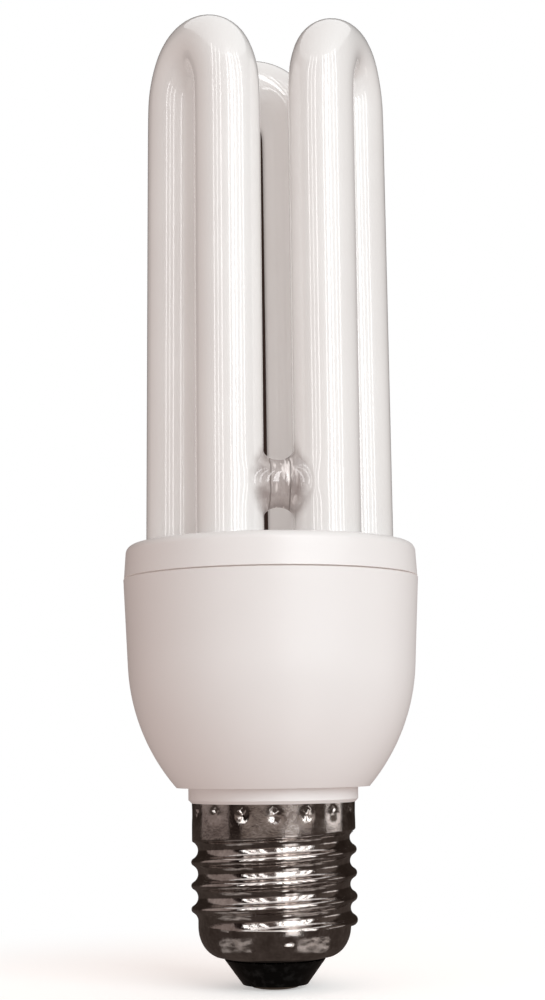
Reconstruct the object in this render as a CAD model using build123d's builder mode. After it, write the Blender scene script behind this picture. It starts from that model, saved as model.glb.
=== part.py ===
from build123d import *
import math
import os

os.makedirs("parts", exist_ok=True)

# Driving dimensions of the whole lamp, millimetres. The lamp's axis is Z, and
# Z = 0 is the underside of the centre contact. The bridge side looks along -Y.
overall_height = 155.2
housing_top = 71.0
seam_height = 64.0
seam_gap = 0.25
housing_radius = 23.5
edge_rounding = 2.5

# Glass tube
tube_radius = 5.28
leg_spacing = 13.5
u_offset = 12.85
arch_rise = 9.0
crown_radius = 5.75
leg_end = 61.5
leg_chamfer = 1.6
seal_width = 7.0
seal_thickness = 2.4
seal_bottom = 58.8
bridge_height = 77.7
bridge_radius = 3.65
bridge_flare = 4.5
bridge_reach = 5.2

# Screw cap, sized as a standard 27 mm Edison cap
thread_radius = 13.07
thread_root_radius = 11.98
thread_pitch = 3.629
thread_arc = 1.025
thread_start = 6.77
thread_turns = 4.85
thread_clear = 0.1
crest_half = 0.4
root_flat = 0.1
toe_rise = 0.03
toe_depth = 0.4
sheet = 0.3
band_radius = 12.9
band_bottom = 24.0
band_fall = 1.1
cap_top = 28.6
shoulder_radius = 11.3
shoulder_top = 8.5
shoulder_bottom = 7.0
shoulder_draft = 0.25
shoulder_run_out = 1.6
band_run_out = 1.2
core_seam_angle = 150
cap_mouth_radius = 8.0
cap_mouth_height = 4.7
dent_count = 16
dent_angle = -95.6
dent_height = 27.2
dent_tip = 12.2
dent_slope = 1.1
dent_reach = 13.25

# Plastic housing
wall = 1.5
top_wall = 1.8
cup_lip_radius = 23.6
cup_waist_radius = 22.9
cup_waist_height = 50.0
cup_foot_radius = 15.3
cup_foot_height = 31.0
cup_bore = 21.95
collar_radius = 13.43
neck_bottom = 24.6
neck_bore = 11.0
socket_radius = 5.9
socket_wall = 1.0
socket_bottom = 63.5
leg_clearance = 0.1

# Circuit board, with its parts hung under it
board_radius = 20.9
board_thickness = 1.6
board_bottom = 55.0
lead_radius = 0.3
lead_sides = 6
lead_spacing = 5.0
wire_radius = 0.65

# Worked out from the dimensions above
leg_circle = math.hypot(u_offset, leg_spacing / 2)
leg_angle = math.degrees(math.atan2(leg_spacing / 2, u_offset))
bridge_offset = leg_circle * math.cos(math.radians(60 - leg_angle))
u_angles = [90, 210, 330]
sealed_angles = [90 + leg_angle, 210 - leg_angle]
board_top = board_bottom + board_thickness
band_bore = band_radius - sheet
dent_tip_inside = dent_tip - sheet * math.hypot(1, dent_slope) / dent_slope


def around(radius, angle):
    return (radius * math.cos(math.radians(angle)), radius * math.sin(math.radians(angle)))


leg_places = [around(leg_circle, angle + side * leg_angle) for angle in u_angles for side in (-1, 1)]

# Discharge tube: three U-bent tubes with tall arches, fused into one sealed
# glass by narrow bridges. The gap with no bridge is between the two legs that
# hold the electrodes, and their ends are pinched flat round the lead wires.
half_spacing = leg_spacing / 2
spring_height = overall_height - tube_radius - arch_rise
crown_rise = arch_rise - crown_radius
haunch_radius = (half_spacing**2 - crown_radius**2 + crown_rise**2) / (2 * (half_spacing - crown_radius))
haunch_angle = math.degrees(math.atan2(crown_rise, haunch_radius - half_spacing))

with BuildPart() as u_tube:
    with BuildLine(Plane(origin=(u_offset, 0, 0), x_dir=(0, 1, 0), z_dir=(1, 0, 0))) as u_path:
        Line((half_spacing, leg_end), (half_spacing, spring_height))
        CenterArc((half_spacing - haunch_radius, spring_height), haunch_radius, 0, haunch_angle)
        CenterArc((0, spring_height + crown_rise), crown_radius, haunch_angle, 180 - 2 * haunch_angle)
        CenterArc((haunch_radius - half_spacing, spring_height), haunch_radius, 180 - haunch_angle, haunch_angle)
        Line((-half_spacing, spring_height), (-half_spacing, leg_end))
    with BuildSketch(Plane.XY.offset(leg_end)):
        with Locations((u_offset, half_spacing)):
            Circle(tube_radius)
    sweep(path=u_path.line)
    chamfer(u_tube.edges().group_by(Axis.Z)[0], leg_chamfer)

# Each bridge is a short neck that flares where it is fused on.
with BuildPart() as bridge:
    with BuildSketch(Plane(origin=(bridge_offset, 0, bridge_height), x_dir=(0, 1, 0), z_dir=(1, 0, 0))):
        with BuildLine():
            ThreePointArc((-bridge_reach, bridge_flare), (0, bridge_radius), (bridge_reach, bridge_flare))
            Polyline(
                (bridge_reach, bridge_flare),
                (bridge_reach, 0),
                (-bridge_reach, 0),
                (-bridge_reach, bridge_flare),
            )
        make_face()
    revolve(axis=Axis((bridge_offset, 0, bridge_height), (0, 1, 0)))

with BuildPart() as pinch_seal:
    with BuildSketch(Plane.XY.offset(leg_end + leg_chamfer)):
        with Locations((leg_circle, 0)):
            Rectangle(seal_thickness, seal_width)
    extrude(amount=seal_bottom - leg_end - leg_chamfer)

with BuildPart() as discharge_tube:
    with PolarLocations(0, len(u_angles), start_angle=u_angles[0]):
        add(u_tube.part)
    with Locations(Location((0, 0, 0), (0, 0, -90)), Location((0, 0, 0), (0, 0, 30))):
        add(bridge.part)
    with Locations(*[Location((0, 0, 0), (0, 0, angle)) for angle in sealed_angles]):
        add(pinch_seal.part)
discharge_tube.part.label = "discharge_tube"
export_step(discharge_tube.part, "parts/discharge_tube.step")


def punch_mark(tip):
    """Four-sided point that a punch leaves, where two wedges cross on the X axis."""
    half = (dent_reach - tip) * dent_slope
    with BuildPart() as mark:
        for turn, mode in ((-45, Mode.ADD), (45, Mode.INTERSECT)):
            with BuildSketch(Plane.XY.rotated((turn, 0, 0)).offset(-half)):
                Polygon((tip, 0), (dent_reach, half), (dent_reach, -half), align=None)
            extrude(amount=2 * half, mode=mode)
    return mark.part


# Screw shell: sheet rolled to a round thread, wound on a core as one ridge.
# The ridge's outline is drawn about the helix that its two toes follow, and
# the toes are sunk a little in the core.
crest_middle = thread_radius - thread_arc
root_middle = thread_root_radius + thread_arc
turn_over = math.asin(thread_pitch / 4 / thread_arc)
floor = thread_root_radius + root_flat
toe = thread_root_radius + toe_rise
toe_turn = math.acos((root_middle - toe) / thread_arc)
toe_half = thread_pitch / 2 - thread_arc * math.sin(toe_turn)
hollow_turn = (turn_over + toe_turn) / 2
flank_x = crest_middle + thread_arc * math.cos(turn_over) - toe
flank_y = thread_pitch / 4
hollow_x = root_middle - thread_arc * math.cos(hollow_turn) - toe
hollow_y = thread_pitch / 2 - thread_arc * math.sin(hollow_turn)
core_bottom_height = cap_mouth_height - 1.0

with BuildPart() as thread_ridge:
    with BuildLine() as turns:
        Helix(thread_pitch, thread_pitch * thread_turns, toe, center=(0, 0, thread_start))
    with BuildSketch(Plane(origin=turns.line @ 0, x_dir=(1, 0, 0), z_dir=turns.line % 0)):
        with BuildLine():
            Polyline(
                (-toe_depth, -toe_half),
                (hollow_x, -hollow_y),
                (flank_x, -flank_y),
                (thread_radius - toe, -crest_half),
                (thread_radius - toe, crest_half),
                (flank_x, flank_y),
                (hollow_x, hollow_y),
                (-toe_depth, toe_half),
                (-toe_depth, -toe_half),
            )
        make_face()
    sweep(path=turns.line, is_frenet=True)

# Form that the thread may not stand proud of: it runs out on the shoulder at
# the bottom and under the plain band at the top.
with BuildPart() as cap_envelope:
    with BuildSketch(Plane.XZ):
        with BuildLine():
            Polyline(
                (0, cap_mouth_height),
                (cap_mouth_radius, cap_mouth_height),
                (shoulder_radius - shoulder_draft, shoulder_bottom),
                (shoulder_radius, shoulder_top),
                (thread_radius + thread_clear, shoulder_top + shoulder_run_out),
                (thread_radius + thread_clear, band_bottom - band_run_out),
                (band_radius, band_bottom - thread_clear),
                (band_radius, cap_top),
                (0, cap_top),
                (0, cap_mouth_height),
            )
        make_face()
    revolve(axis=Axis.Z)

# Inside of the sheet, with the tips of the dents standing in it
with BuildPart() as cap_hollow:
    with BuildSketch(Plane.XZ):
        with BuildLine():
            Polyline(
                (0, cap_mouth_height - sheet),
                (cap_mouth_radius - sheet, cap_mouth_height - sheet),
                (cap_mouth_radius - sheet, cap_mouth_height + sheet / 2),
                (shoulder_radius - shoulder_draft - sheet, shoulder_bottom),
                (shoulder_radius - sheet, shoulder_top + sheet),
                (thread_root_radius - sheet, shoulder_top + 4 * sheet),
                (thread_root_radius - sheet, band_bottom - band_fall),
                (band_bore, band_bottom),
                (band_bore, cap_top),
                (0, cap_top),
                (0, cap_mouth_height - sheet),
            )
        make_face()
    revolve(axis=Axis.Z)
    with Locations(Location((0, 0, dent_height), (0, 0, dent_angle))):
        with PolarLocations(0, dent_count):
            add(punch_mark(dent_tip_inside), mode=Mode.SUBTRACT)

with BuildPart() as screw_shell:
    with BuildSketch(Plane.XZ.rotated((0, 0, core_seam_angle))):
        with BuildLine():
            Polyline(
                (0, core_bottom_height),
                (floor, core_bottom_height),
                (floor, band_bottom - band_fall),
                (band_radius, band_bottom),
                (band_radius, cap_top),
                (0, cap_top),
                (0, core_bottom_height),
            )
        make_face()
    revolve(axis=Axis.Z)
    add(thread_ridge.part)
    add(cap_envelope.part, mode=Mode.INTERSECT)
    with Locations(Location((0, 0, dent_height), (0, 0, dent_angle))):
        with PolarLocations(0, dent_count):
            add(punch_mark(dent_tip), mode=Mode.SUBTRACT)
    add(cap_hollow.part, mode=Mode.SUBTRACT)
screw_shell.part.label = "screw_shell"
export_step(screw_shell.part, "parts/screw_shell.step")

# Insulator: black moulded glass, seated in the shoulder, with a cone below it
insulator_bottom = 0.6
insulator_tip_radius = 5.1
insulator_rim_radius = cap_mouth_radius - 0.1
insulator_well_radius = 4.0
insulator_well_bottom = shoulder_bottom - 2.0
stem_radius = 1.1
with BuildPart() as insulator:
    with BuildSketch(Plane.XZ):
        with BuildLine():
            Polyline(
                (stem_radius, insulator_bottom),
                (insulator_tip_radius, insulator_bottom),
                (insulator_rim_radius, cap_mouth_height - sheet),
                (cap_mouth_radius - sheet, cap_mouth_height - sheet),
                (cap_mouth_radius - sheet, cap_mouth_height + sheet / 2),
                (shoulder_radius - shoulder_draft - sheet, shoulder_bottom),
                (insulator_well_radius, shoulder_bottom),
                (insulator_well_radius, insulator_well_bottom),
                (stem_radius, insulator_well_bottom),
                (stem_radius, insulator_bottom),
            )
        make_face()
    revolve(axis=Axis.Z)
insulator.part.label = "insulator"
export_step(insulator.part, "parts/insulator.step")

# Centre contact: pressed disc with a rivet stem through the insulator
contact_radius = 3.9
contact_flat_radius = 2.8
contact_edge_radius = 3.55
contact_edge_height = 0.17
rivet_radius = 1.8
rivet_top = insulator_well_bottom + 0.4
stem_bore_bottom = 3.0
with BuildPart() as centre_contact:
    with BuildSketch(Plane.XZ):
        with BuildLine():
            Polyline(
                (0, 0),
                (contact_flat_radius, 0),
                (contact_edge_radius, contact_edge_height),
                (contact_radius, insulator_bottom),
                (stem_radius, insulator_bottom),
                (stem_radius, insulator_well_bottom),
                (rivet_radius, insulator_well_bottom),
                (rivet_radius, rivet_top),
                (wire_radius, rivet_top),
                (wire_radius, stem_bore_bottom),
                (0, stem_bore_bottom),
                (0, 0),
            )
        make_face()
    revolve(axis=Axis.Z)
centre_contact.part.label = "centre_contact"
export_step(centre_contact.part, "parts/centre_contact.step")

# Upper cover: six leg sockets under a flat top with a rounded edge, a snap
# skirt inside the seam, and three feet that hold the circuit board down.
skirt_radius = cup_bore
skirt_wall = 1.3
skirt_bottom = 60.0
snap_height = 61.6
snap_depth = 0.25
snap_half = 0.4
cover_draft = 0.25
foot_width = 1.6
foot_depth = 2.4
foot_radius = skirt_radius - 1.4
cover_bottom = seam_height + seam_gap / 2
flat_radius = housing_radius - cover_draft - edge_rounding
with BuildPart() as tube_holder:
    with BuildSketch(Plane.XZ):
        with BuildLine():
            Polyline(
                (0, housing_top),
                (0, housing_top - top_wall),
                (skirt_radius - skirt_wall, housing_top - top_wall),
                (skirt_radius - skirt_wall, skirt_bottom),
                (skirt_radius, skirt_bottom),
                (skirt_radius, snap_height - snap_half),
                (skirt_radius + snap_depth, snap_height),
                (skirt_radius, snap_height + snap_half),
                (skirt_radius, cover_bottom),
                (housing_radius, cover_bottom),
                (housing_radius - cover_draft, housing_top - edge_rounding),
            )
            RadiusArc(
                (housing_radius - cover_draft, housing_top - edge_rounding),
                (flat_radius, housing_top),
                -edge_rounding,
            )
            Line((flat_radius, housing_top), (0, housing_top))
        make_face()
    revolve(axis=Axis.Z)
    with BuildSketch(Plane.XY.offset(socket_bottom)):
        with Locations(*leg_places):
            Circle(socket_radius + socket_wall)
    extrude(amount=housing_top - top_wall - socket_bottom)
    with BuildSketch(Plane.XY.offset(board_top)):
        with PolarLocations(foot_radius, 3, start_angle=30):
            Rectangle(foot_depth, foot_width)
    extrude(amount=housing_top - top_wall - board_top)
    with BuildSketch(Plane.XY.offset(socket_bottom)):
        with Locations(*leg_places):
            Circle(socket_radius)
    extrude(amount=housing_top - top_wall - socket_bottom, mode=Mode.SUBTRACT)
    with BuildSketch(Plane.XY.offset(housing_top)):
        with Locations(*leg_places):
            Circle(tube_radius + leg_clearance)
    extrude(amount=-top_wall, mode=Mode.SUBTRACT)
tube_holder.part.label = "tube_holder"
export_step(tube_holder.part, "parts/tube_holder.step")

# Cement that fills the gap between each leg and its socket
with BuildPart() as socket_cement:
    with BuildSketch(Plane.XY.offset(socket_bottom)):
        with Locations(*leg_places):
            Circle(socket_radius)
        with Locations(*leg_places):
            Circle(tube_radius, mode=Mode.SUBTRACT)
    extrude(amount=housing_top - top_wall - socket_bottom)
socket_cement.part.label = "socket_cement"
export_step(socket_cement.part, "parts/socket_cement.step")

# Lower cup: tapered wall that rounds in to a flat foot, then the collar that
# sits on the screw shell and the neck that the shell is staked to.
cup_floor = cup_foot_height + wall
cup_floor_radius = cup_foot_radius - 0.8
inner_turn_low = (17.7, 37.5)
inner_turn_high = (20.1, 43.0)
inner_waist_radius = cup_waist_radius - wall
collar_bevel = 0.5
rib_depth = 2.6
rib_width = 1.4
groove_clearance = 0.03
groove_radius = dent_tip_inside - groove_clearance
groove_half = (band_bore - groove_radius) * dent_slope * math.sqrt(2) + 0.1
seam_bottom = seam_height - seam_gap / 2
with BuildPart() as ballast_housing:
    with BuildSketch(Plane.XZ):
        with BuildLine():
            Polyline((cup_bore, seam_bottom), (cup_lip_radius, seam_bottom), (cup_waist_radius, cup_waist_height))
            TangentArc(
                (cup_waist_radius, cup_waist_height),
                (cup_foot_radius, cup_foot_height),
                tangent=(cup_waist_radius - cup_lip_radius, cup_waist_height - seam_height),
            )
            Polyline(
                (cup_foot_radius, cup_foot_height),
                (collar_radius, cup_foot_height),
                (collar_radius, cap_top + collar_bevel),
                (collar_radius - collar_bevel, cap_top),
                (band_bore, cap_top),
                (band_bore, dent_height + groove_half),
                (groove_radius, dent_height + groove_half),
                (groove_radius, dent_height - groove_half),
                (band_bore, dent_height - groove_half),
                (band_bore, neck_bottom),
                (neck_bore, neck_bottom),
                (neck_bore, cup_floor),
                (cup_floor_radius, cup_floor),
                inner_turn_low,
                inner_turn_high,
                (inner_waist_radius, cup_waist_height),
                (inner_waist_radius, board_top),
                (cup_bore, board_top),
                (cup_bore, snap_height - snap_half),
                (cup_bore + snap_depth, snap_height),
                (cup_bore, snap_height + snap_half),
                (cup_bore, seam_bottom),
            )
        make_face()
    revolve(axis=Axis.Z)
    # Four ribs that the circuit board rests on
    with BuildSketch(Plane.XY.offset(board_bottom)):
        with PolarLocations(inner_waist_radius - 0.5, 4):
            Rectangle(rib_depth, rib_width)
    extrude(amount=cup_waist_height - board_bottom)
ballast_housing.part.label = "ballast_housing"
export_step(ballast_housing.part, "parts/ballast_housing.step")

# Places of the parts under the board
pin_places = [around(19, 141), around(13, 144), around(13, 156), around(19, 159)]
pin_width = 0.8
pin_below = 0.8
pin_above = 4.4
choke_y = 8.5
can_x = -3.0
can_radius = 5.0
can_bottom = 20.0
can_top = 39.0
side_lead_angle = -18
side_lead_place = around(18.5, side_lead_angle)

# Circuit board
with BuildPart() as circuit_board:
    with BuildSketch(Plane.XY.offset(board_bottom)):
        Circle(board_radius)
        with Locations(*pin_places):
            Rectangle(pin_width, pin_width, mode=Mode.SUBTRACT)
        with Locations(side_lead_place):
            Circle(lead_radius, mode=Mode.SUBTRACT)
    extrude(amount=board_thickness)
circuit_board.part.label = "circuit_board"
export_step(circuit_board.part, "parts/circuit_board.step")

# Pins that the electrode wires are wound on
with BuildPart() as wrap_pins:
    with BuildSketch(Plane.XY.offset(board_bottom - pin_below)):
        with Locations(*pin_places):
            Rectangle(pin_width, pin_width)
    extrude(amount=pin_below + board_thickness + pin_above)
wrap_pins.part.label = "wrap_pins"
export_step(wrap_pins.part, "parts/wrap_pins.step")

# Electrode wires: out of each pinch seal and round one face of a pin
wire_height = seal_bottom - 0.8
wire_spread = 1.6
with BuildPart() as electrode_wires:
    for seal_angle, side, pin in zip(
        [sealed_angles[0], sealed_angles[0], sealed_angles[1], sealed_angles[1]],
        [wire_spread, -wire_spread, wire_spread, -wire_spread],
        [pin_places[1], pin_places[0], pin_places[3], pin_places[2]],
    ):
        seal = around(leg_circle, seal_angle)
        along = around(side, seal_angle + 90)
        start = (seal[0] + along[0], seal[1] + along[1])
        reach = math.hypot(pin[0] - start[0], pin[1] - start[1])
        stop = 1 - (pin_width / math.sqrt(2) + lead_radius) / reach
        end = (start[0] + (pin[0] - start[0]) * stop, start[1] + (pin[1] - start[1]) * stop)
        with BuildLine() as route:
            Polyline((*start, seal_bottom), (*start, wire_height), (*end, wire_height))
        with BuildSketch(Plane.XY.offset(seal_bottom)):
            with Locations(start):
                RegularPolygon(lead_radius, lead_sides)
        sweep(path=route.line, transition=Transition.RIGHT)
electrode_wires.part.label = "electrode_wires"
export_step(electrode_wires.part, "parts/electrode_wires.step")


def upright_leads(places, length):
    """Straight leads from a part's top up to the board."""
    with BuildPart() as leads:
        with BuildSketch(Plane.XY.offset(board_bottom)):
            with Locations(*places):
                RegularPolygon(lead_radius, lead_sides)
        extrude(amount=-length)
    return leads.part


# Smoothing capacitor: can with a crimped groove, standing down in the neck
can_round = 0.5
crimp_depth = 0.5
crimp_height = can_top - 2.3
crimp_half = 0.7
with BuildPart() as smoothing_capacitor:
    with BuildSketch(Plane(origin=(can_x, 0, 0), x_dir=(1, 0, 0), z_dir=(0, -1, 0))):
        with BuildLine():
            Polyline(
                (0, can_bottom),
                (can_radius - can_round, can_bottom),
                (can_radius, can_bottom + can_round),
                (can_radius, crimp_height - crimp_half),
                (can_radius - crimp_depth, crimp_height),
                (can_radius, crimp_height + crimp_half),
                (can_radius, can_top - can_round),
                (can_radius - can_round, can_top),
                (0, can_top),
                (0, can_bottom),
            )
        make_face()
    revolve(axis=Axis((can_x, 0, 0), (0, 0, 1)))
    can_leads = [(can_x - lead_spacing / 2, 0), (can_x + lead_spacing / 2, 0)]
    add(upright_leads(can_leads, board_bottom - can_top))
smoothing_capacitor.part.label = "smoothing_capacitor"
export_step(smoothing_capacitor.part, "parts/smoothing_capacitor.step")

# Choke: a closed core of two E halves, a bobbin on its middle leg with a
# terminal base over the core, and the winding on the bobbin.
core_width = 16.0
core_depth = 5.0
core_height = 13.6
core_leg = 2.4
core_middle = 4.0
choke_base = 2.0
choke_pin_height = 0.5
choke_pin_x = 5.0
choke_pin_y = 4.6
core_top = board_bottom - choke_base
core_bottom = core_top - core_height
window_height = core_height - 2 * core_leg
bobbin_wall = 0.6
with BuildPart() as choke_core:
    with BuildSketch(Plane.XZ.offset(-choke_y - core_depth / 2)):
        with Locations((0, core_bottom + core_height / 2)):
            Rectangle(core_width, core_height)
            with Locations((core_width / 4 - core_leg / 2 + core_middle / 4, 0)):
                Rectangle(
                    core_width / 2 - core_leg - core_middle / 2, window_height, mode=Mode.SUBTRACT
                )
            with Locations((-core_width / 4 + core_leg / 2 - core_middle / 4, 0)):
                Rectangle(
                    core_width / 2 - core_leg - core_middle / 2, window_height, mode=Mode.SUBTRACT
                )
    extrude(amount=core_depth)
choke_core.part.label = "choke_core"
export_step(choke_core.part, "parts/choke_core.step")

window_bottom = core_bottom + core_leg
window_top = window_bottom + window_height
flange_x = core_width - 2 * core_leg
flange_y = 12.0
flange_round = 1.0
base_x = flange_x + 1.4
post_depth = 1.6
post_offset = core_depth / 2 + 1.2
winding_round = 3.0
with BuildPart() as choke_bobbin:
    with BuildSketch(Plane.XY.offset(window_bottom)):
        with Locations((0, choke_y)):
            Rectangle(core_middle + 2 * bobbin_wall, core_depth + 2 * bobbin_wall)
    extrude(amount=window_height)
    for flange_bottom in (window_bottom, window_top - bobbin_wall):
        with BuildSketch(Plane.XY.offset(flange_bottom)):
            with Locations((0, choke_y)):
                RectangleRounded(flange_x, flange_y, flange_round)
        extrude(amount=bobbin_wall)
    with BuildSketch(Plane.XY.offset(window_top)):
        with Locations((0, choke_y - post_offset), (0, choke_y + post_offset)):
            Rectangle(flange_x, post_depth)
    extrude(amount=core_top - window_top)
    with BuildSketch(Plane.XY.offset(core_top)):
        with Locations((0, choke_y)):
            RectangleRounded(base_x, flange_y, flange_round)
    extrude(amount=choke_base - choke_pin_height)
    with BuildSketch(Plane.XY.offset(window_bottom)):
        with Locations((0, choke_y)):
            Rectangle(core_middle, core_depth)
    extrude(amount=window_height, mode=Mode.SUBTRACT)
    pin_grid = [(x, choke_y + y) for x in (-choke_pin_x, choke_pin_x) for y in (-choke_pin_y, choke_pin_y)]
    add(upright_leads(pin_grid, choke_pin_height))
choke_bobbin.part.label = "choke_bobbin"
export_step(choke_bobbin.part, "parts/choke_bobbin.step")

with BuildPart() as choke_winding:
    with BuildSketch(Plane.XY.offset(window_bottom + bobbin_wall)):
        with Locations((0, choke_y)):
            RectangleRounded(flange_x - bobbin_wall, flange_y - flange_round, winding_round)
            Rectangle(core_middle + 2 * bobbin_wall, core_depth + 2 * bobbin_wall, mode=Mode.SUBTRACT)
    extrude(amount=window_height - 2 * bobbin_wall)
choke_winding.part.label = "choke_winding"
export_step(choke_winding.part, "parts/choke_winding.step")

# Drive transformer: ring core with three windings, each wound as one band
ring_y = -9.5
ring_radius = 4.5
ring_bore = 2.4
ring_bottom = 50.5
ring_height = 3.4
winding_wrap = 0.5
with BuildPart() as drive_toroid:
    with BuildSketch(Plane.XY.offset(ring_bottom)):
        with Locations((0, ring_y)):
            Circle(ring_radius)
            Circle(ring_bore, mode=Mode.SUBTRACT)
    extrude(amount=ring_height)
drive_toroid.part.label = "drive_toroid"
export_step(drive_toroid.part, "parts/drive_toroid.step")

with BuildPart() as toroid_windings:
    for winding_angle, winding_span in ((90, 60), (210, 60), (330, 30)):
        with BuildSketch(
            Plane(
                origin=(0, ring_y, 0),
                x_dir=(*around(1, winding_angle - winding_span / 2), 0),
                z_dir=(*around(1, winding_angle - winding_span / 2 - 90), 0),
            )
        ):
            with Locations(((ring_radius + ring_bore) / 2, ring_bottom + ring_height / 2)):
                Rectangle(ring_radius - ring_bore + 2 * winding_wrap, ring_height + 2 * winding_wrap)
                Rectangle(ring_radius - ring_bore, ring_height, mode=Mode.SUBTRACT)
        revolve(axis=Axis((0, ring_y, 0), (0, 0, 1)), revolution_arc=winding_span)
        rim = around(ring_radius + winding_wrap / 2, winding_angle)
        add(upright_leads([(rim[0], ring_y + rim[1])], board_bottom - ring_bottom - ring_height))
toroid_windings.part.label = "toroid_windings"
export_step(toroid_windings.part, "parts/toroid_windings.step")


# Power transistors
transistor_x = 13.5
transistor_y = -3.0
transistor_thickness = 3.0
transistor_width = 8.0
transistor_height = 11.0
transistor_middle = 46.5
screw_hole_height = 44.5
screw_hole_radius = 1.6
leg_pitch = 2.3
leg_depth = 0.5
leg_width = 0.8


def flat_transistor(x):
    """Flat power transistor with a screw hole, hung by three legs."""
    with BuildPart() as transistor:
        with BuildSketch(Plane.YZ.offset(x - transistor_thickness / 2)):
            with Locations((transistor_y, transistor_middle)):
                Rectangle(transistor_width, transistor_height)
            with Locations((transistor_y, screw_hole_height)):
                Circle(screw_hole_radius, mode=Mode.SUBTRACT)
        extrude(amount=transistor_thickness)
        with BuildSketch(Plane.XY.offset(board_bottom)):
            with Locations((x, transistor_y)):
                with GridLocations(1, leg_pitch, 1, 3):
                    Rectangle(leg_depth, leg_width)
        extrude(amount=transistor_middle + transistor_height / 2 - board_bottom)
    return transistor.part


for number, side in enumerate((-1, 1), start=1):
    transistor = flat_transistor(side * transistor_x)
    transistor.label = f"transistor_{number}"
    export_step(transistor, f"parts/transistor_{number}.step")


# Film capacitors
dip_width = 9.0
dip_depth = 4.4
dip_bevel = 0.8
stand_off = 1.5


def dipped_capacitor(place, height):
    """Film capacitor dipped in resin, on two leads."""
    with BuildPart() as capacitor:
        with BuildSketch(Plane.XY.offset(board_bottom - stand_off)):
            with Locations(place):
                RectangleRounded(dip_width, dip_depth, dip_depth / 2 - 0.2)
        extrude(amount=-height)
        chamfer(capacitor.faces().sort_by(Axis.Z)[0].edges(), dip_bevel)
        chamfer(capacitor.faces().sort_by(Axis.Z)[-1].edges(), dip_bevel)
        lead_places = [(place[0] + side * lead_spacing / 2, place[1]) for side in (-1, 1)]
        add(upright_leads(lead_places, stand_off))
    return capacitor.part


for capacitor_name, capacitor_place, capacitor_height in (
    ("resonance_capacitor", (-9.3, -11.6), 8.0),
    ("blocking_capacitor", (9.3, -11.6), 9.5),
):
    capacitor = dipped_capacitor(capacitor_place, capacitor_height)
    capacitor.label = capacitor_name
    export_step(capacitor, f"parts/{capacitor_name}.step")


# Diodes and resistors
diode_radius = 1.3
diode_length = 4.6
diode_y = -17.3
diode_lead_back = 2.0
resistor_radius = 0.9
resistor_length = 3.4
resistor_lead_back = 1.8
lead_bend = 1.0


def standing_part(place, radius, length, lead_back):
    """Axial part stood on end, with its lower lead bent back to the board."""
    top = board_bottom - stand_off
    foot = top - length - lead_bend
    back = (place[0], place[1] + lead_back)
    with BuildPart() as standing:
        with BuildLine() as route:
            Polyline((*place, board_bottom), (*place, foot), (*back, foot), (*back, board_bottom))
        with BuildSketch(Plane.XY.offset(board_bottom)):
            with Locations(place):
                RegularPolygon(lead_radius, lead_sides)
        sweep(path=route.line, transition=Transition.RIGHT)
        with BuildSketch(Plane.XY.offset(top)):
            with Locations(place):
                Circle(radius)
        extrude(amount=-length)
    return standing.part


with BuildPart() as rectifier_diodes:
    for diode_x in (-6.0, -2.0, 2.0, 6.0):
        add(standing_part((diode_x, diode_y), diode_radius, diode_length, diode_lead_back))
rectifier_diodes.part.label = "rectifier_diodes"
export_step(rectifier_diodes.part, "parts/rectifier_diodes.step")

with BuildPart() as base_resistors:
    for resistor_place in ((-12.0, 12.6), (12.0, 12.6), (17.2, 2.6), (-17.2, -3.0)):
        add(standing_part(resistor_place, resistor_radius, resistor_length, resistor_lead_back))
base_resistors.part.label = "base_resistors"
export_step(base_resistors.part, "parts/base_resistors.step")

with BuildPart() as diac:
    add(standing_part((-17.2, 2.6), resistor_radius, resistor_length, resistor_lead_back))
diac.part.label = "diac"
export_step(diac.part, "parts/diac.step")

# Filter choke: sleeved drum on two leads
filter_place = (13.0, 6.8)
filter_radius = 2.9
filter_length = 8.0
filter_bevel = 0.5
filter_stand_off = 1.2
filter_lead = 1.5
with BuildPart() as filter_choke:
    with BuildSketch(Plane.XY.offset(board_bottom - filter_stand_off)):
        with Locations(filter_place):
            Circle(filter_radius)
    extrude(amount=-filter_length)
    chamfer(filter_choke.edges().filter_by(GeomType.CIRCLE), filter_bevel)
    lead_pair = [(filter_place[0] + x, filter_place[1]) for x in (-filter_lead, filter_lead)]
    add(upright_leads(lead_pair, filter_stand_off))
filter_choke.part.label = "filter_choke"
export_step(filter_choke.part, "parts/filter_choke.step")

# Fuse resistor, in the wire to the centre contact
fuse_place = (10.2, -3.2)
fuse_radius = 1.6
fuse_top = 52.0
fuse_bottom = 43.5
fuse_bevel = 0.4
with BuildPart() as fuse_resistor:
    with BuildSketch(Plane.XY.offset(fuse_top)):
        with Locations(fuse_place):
            Circle(fuse_radius)
    extrude(amount=fuse_bottom - fuse_top)
    chamfer(fuse_resistor.edges().filter_by(GeomType.CIRCLE), fuse_bevel)
    add(upright_leads([fuse_place], board_bottom - fuse_top))
fuse_resistor.part.label = "fuse_resistor"
export_step(fuse_resistor.part, "parts/fuse_resistor.step")

# Wire from the fuse resistor down through the neck to the contact's stem
beside_can = (6.2, -2.4)
centre_bend_top = 40.0
centre_bend_middle = 33.0
centre_bend_low = 13.0
with BuildPart() as centre_lead:
    with BuildLine() as centre_route:
        Polyline(
            (*fuse_place, fuse_bottom),
            (*fuse_place, centre_bend_top),
            (*beside_can, centre_bend_middle),
            (*beside_can, can_bottom),
            (0, 0, centre_bend_low),
            (0, 0, stem_bore_bottom),
        )
    with BuildSketch(Plane.XY.offset(fuse_bottom)):
        with Locations(fuse_place):
            Circle(wire_radius)
    sweep(path=centre_route.line, transition=Transition.RIGHT)
centre_lead.part.label = "centre_lead"
export_step(centre_lead.part, "parts/centre_lead.step")

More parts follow.
